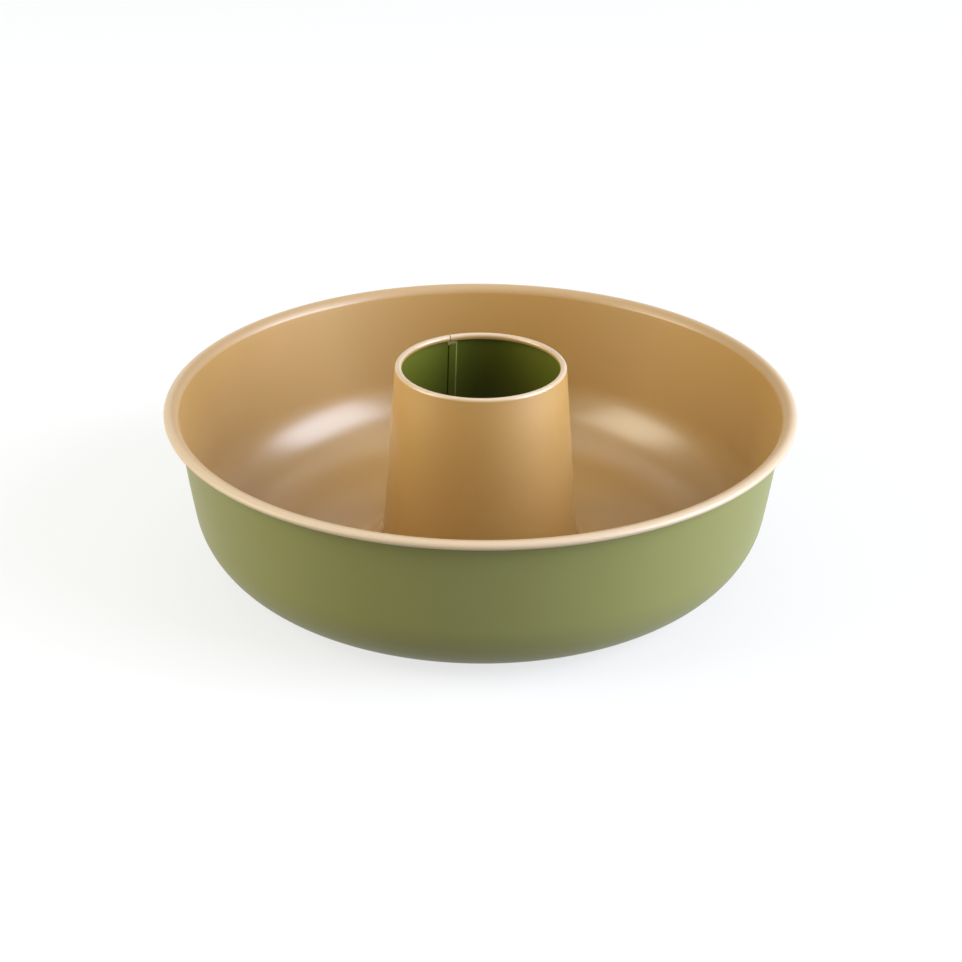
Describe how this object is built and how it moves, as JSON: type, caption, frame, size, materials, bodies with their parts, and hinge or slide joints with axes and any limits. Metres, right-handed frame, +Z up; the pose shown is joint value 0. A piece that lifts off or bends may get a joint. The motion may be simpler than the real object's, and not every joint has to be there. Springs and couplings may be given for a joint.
{
  "type": "savarin mould",
  "caption": "Ring cake mould of coated sheet steel: round flared pan with a rolled rim and an open tapered centre tube folded into its floor.",
  "frame": {"origin": "on the mould's axis, at the level of the table that the pan's floor stands on", "axes": "+Z up along the axis of the pan and the tube, -Y towards the viewer of the picture, +X to the viewer's right"},
  "size_m": [0.26, 0.26, 0.0845],
  "materials": {
    "gold_coat": "satin gold non-stick coat on the batter side of both sheets: inside of the pan, rolled rim, outside of the tube and its bead",
    "green_coat": "satin olive-green lacquer on the other side of both sheets: outside and underside of the pan, inside of the tube"
  },
  "bodies": {
    "root": {"pan": "green_coat", "centre_tube": "gold_coat"}
  },
  "joints": []
}
